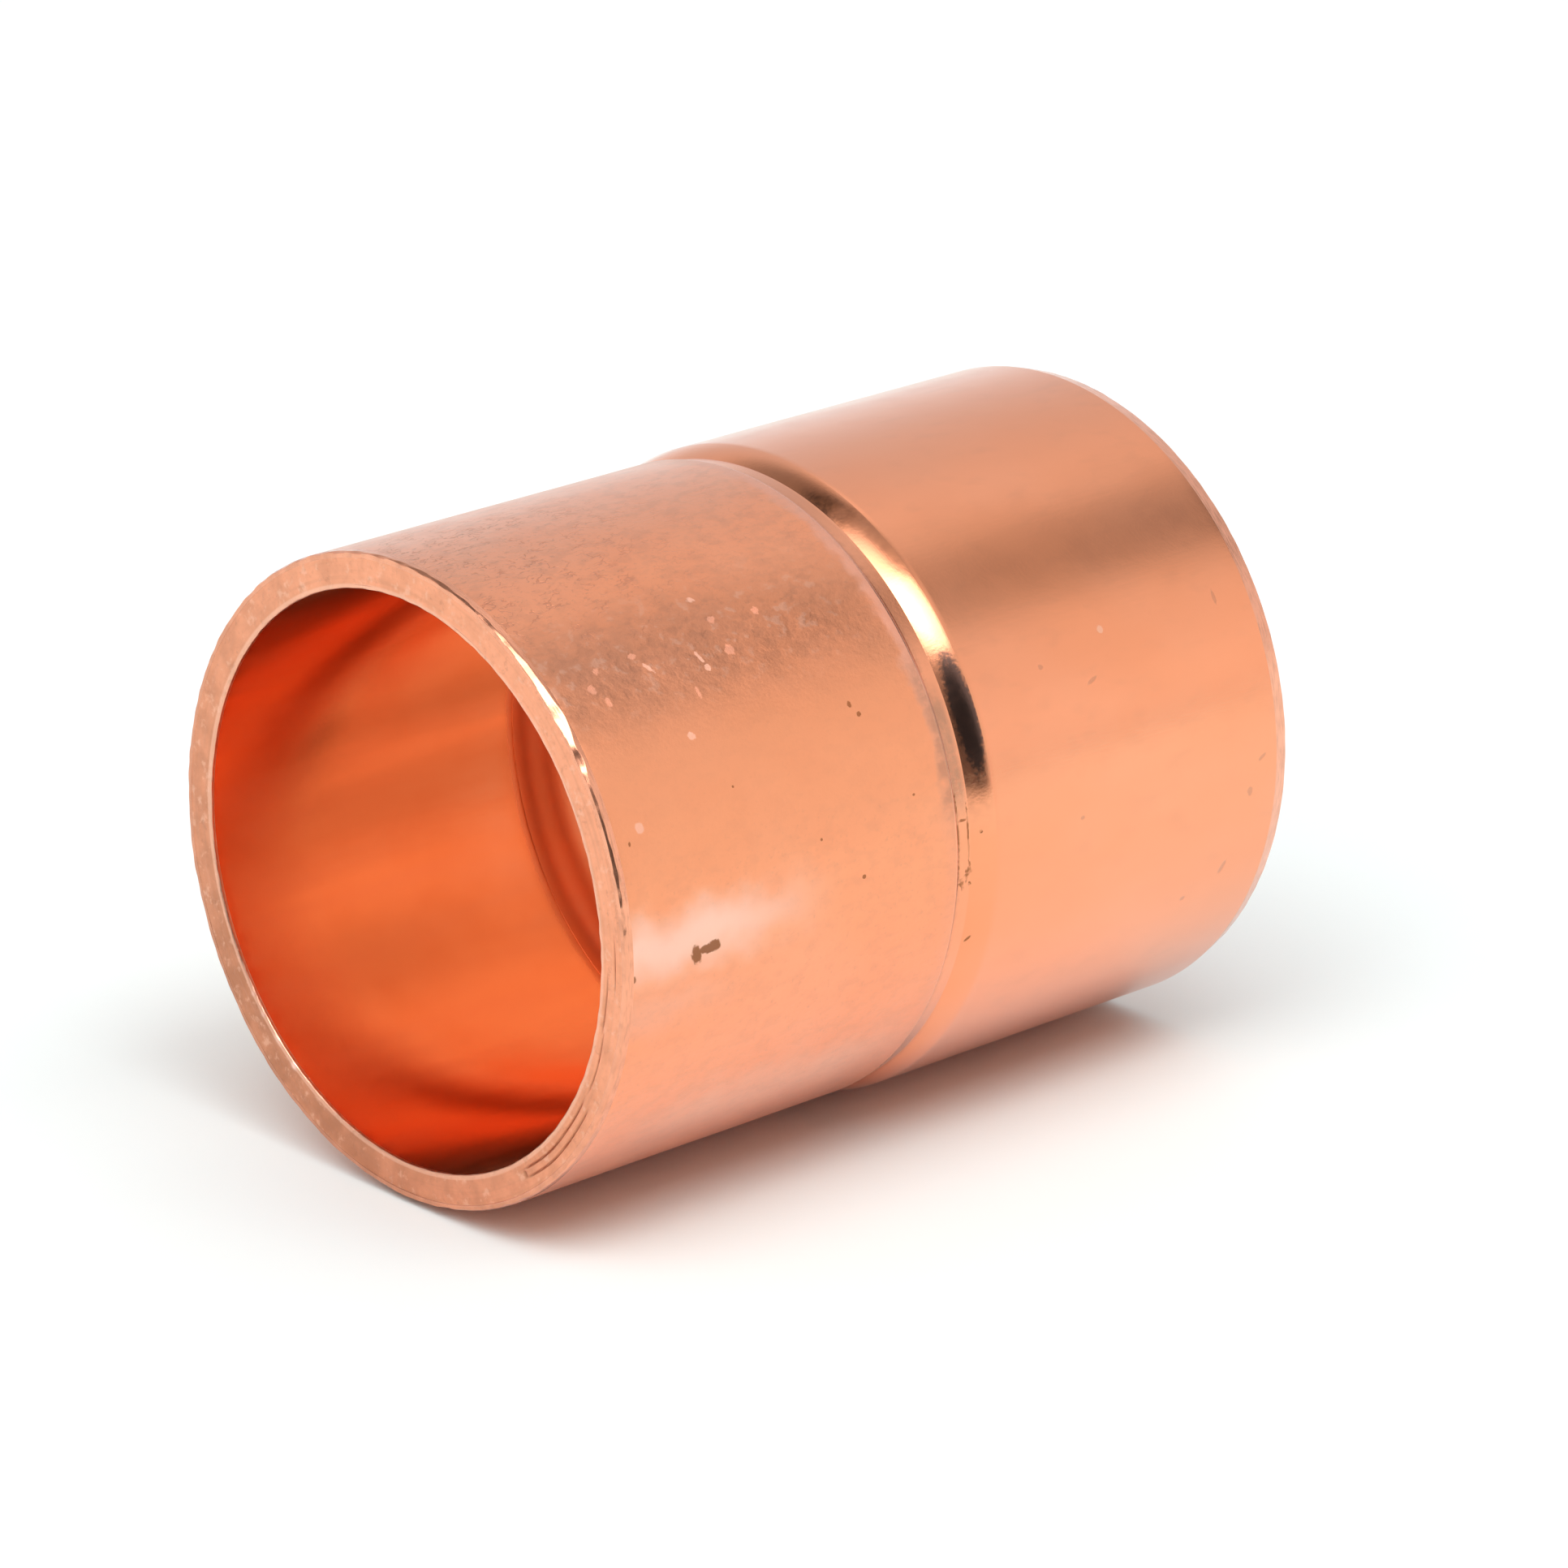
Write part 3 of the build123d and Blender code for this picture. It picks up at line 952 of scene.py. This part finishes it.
FLOOR_SIZE = 4.0
PAPER = (0.885, 0.94, 0.935, 1.0)
half = FLOOR_SIZE / 2
floor_corners = [(-half, -half, 0), (half, -half, 0), (half, half, 0), (-half, half, 0)]
floor_mesh = bpy.data.meshes.new("floor")
floor_mesh.from_pydata(floor_corners, [], [(0, 1, 2, 3)])
floor = bpy.data.objects.new("floor", floor_mesh)
floor.location = (0, 0, -LARGE_OUT)
bpy.context.scene.collection.objects.link(floor)
paper = bpy.data.materials.new("white_paper")
paper.use_nodes = True
paper_shader = paper.node_tree.nodes["Principled BSDF"]
paper_shader.inputs["Base Color"].default_value = PAPER
paper_shader.inputs["Roughness"].default_value = 1.0
paper_shader.inputs["Specular IOR Level"].default_value = 0.0
floor_mesh.materials.append(paper)


def direction(azimuth, elevation):
    """The unit vector towards an azimuth and elevation in degrees."""
    a, e = math.radians(azimuth), math.radians(elevation)
    return Vector((math.cos(e) * math.cos(a), math.cos(e) * math.sin(a), math.sin(e)))


KEY_AZIMUTH = -92
KEY_ELEVATION = 58
KEY_DISTANCE = 1.5
KEY_SIZE = (1.0, 0.68)
KEY_POWER = 5.5
key_data = bpy.data.lights.new("key", "AREA")
key_data.shape = "RECTANGLE"
key_data.size, key_data.size_y = KEY_SIZE
key_data.energy = KEY_POWER
key = bpy.data.objects.new("key", key_data)
key.location = direction(KEY_AZIMUTH, KEY_ELEVATION) * KEY_DISTANCE
key.rotation_euler = direction(KEY_AZIMUTH, KEY_ELEVATION).to_track_quat("Z", "Y").to_euler()
key.visible_camera = False
bpy.context.scene.collection.objects.link(key)

# The room's brightness: at the foot of the walls, up the walls, on the ceiling and straight overhead
WALL_FOOT = 0.886
WALL = 0.725
CEILING = 1.3
OVERHEAD = 0.15
world = bpy.data.worlds.new("room")
world.use_nodes = True
bpy.context.scene.world = world
room = Nodes(world.node_tree)
looking = room.add("ShaderNodeTexCoord").outputs["Generated"]
up = room.split(looking)["Z"]


def height(elevation):
    """How far up a direction at that elevation points, from 0 to 1."""
    return math.sin(math.radians(elevation))


def around(azimuth, elevation, outer, inner):
    """1 within inner degrees of a direction, falling to 0 at outer degrees."""
    node = room.add("ShaderNodeVectorMath", operation="DOT_PRODUCT")
    room.put(node, _0=looking, _1=direction(azimuth, elevation))
    return room.remap(node.outputs["Value"], math.cos(math.radians(outer)), math.cos(math.radians(inner)))


def unlit(azimuth, elevation, outer, inner, depth=1.0):
    """A dark place in the room: 1 outside it, and 1 - depth in its middle."""
    return room.math("MULTIPLY_ADD", around(azimuth, elevation, outer, inner), -depth, 1.0)


def shining(azimuth, elevation, outer, inner, strength):
    """A bright place in the room: 0 outside it, and strength in its middle."""
    return room.math("MULTIPLY", around(azimuth, elevation, outer, inner), strength)


walls = room.remap(up, height(6), height(24), WALL_FOOT, WALL)
ceiling = room.remap(up, height(42), height(60), 0.0, CEILING - WALL)
overhead = room.remap(up, height(64), height(74), 0.0, OVERHEAD - CEILING)
side_gap = unlit(-13.5, 32.6, outer=17.7, inner=4.4)
upper_gap = unlit(-19.6, 70.0, outer=24.5, inner=8.6, depth=0.68)
far_gap = unlit(93.6, 69.3, outer=34.8, inner=10.4, depth=0.79)
panel = shining(-40.0, 19.8, outer=23.1, inner=9.2, strength=0.21)
big_window = shining(-137.0, 54.6, outer=39.0, inner=5.9, strength=3.0)
skylight = shining(-40.0, 80.0, outer=20.0, inner=6.0, strength=0.42)
camera_side = unlit(-118.0, 7.7, outer=47.0, inner=40.0, depth=0.88)
glow = room.product(room.total(walls, ceiling, overhead), side_gap, upper_gap, far_gap)
glow = room.product(room.total(glow, panel, big_window, skylight), camera_side)
seen = room.add("ShaderNodeLightPath").outputs["Is Camera Ray"]
backdrop = room.put(room.add("ShaderNodeMix"), _0=seen, _2=glow, _3=1.0).outputs[0]
room.put(world.node_tree.nodes["Background"], Color=(1.0, 1.0, 1.0, 1.0), Strength=backdrop)

bpy.context.scene.view_settings.view_transform = "Standard"

camera_data = bpy.data.cameras.new("camera")
camera_data.lens = CAMERA_LENS
camera_data.sensor_width = CAMERA_SENSOR
camera_data.clip_start = CAMERA_NEAREST
camera = bpy.data.objects.new("camera", camera_data)
camera.location = Vector((SMALL_MOUTH, 0, 0)) + Vector(CAMERA_FROM_MOUTH) * SMALL_OUT
camera.rotation_euler = (math.radians(90 - CAMERA_PITCH), 0, math.radians(CAMERA_YAW - 90))
bpy.context.scene.collection.objects.link(camera)
bpy.context.scene.camera = camera

bpy.context.view_layer.update()
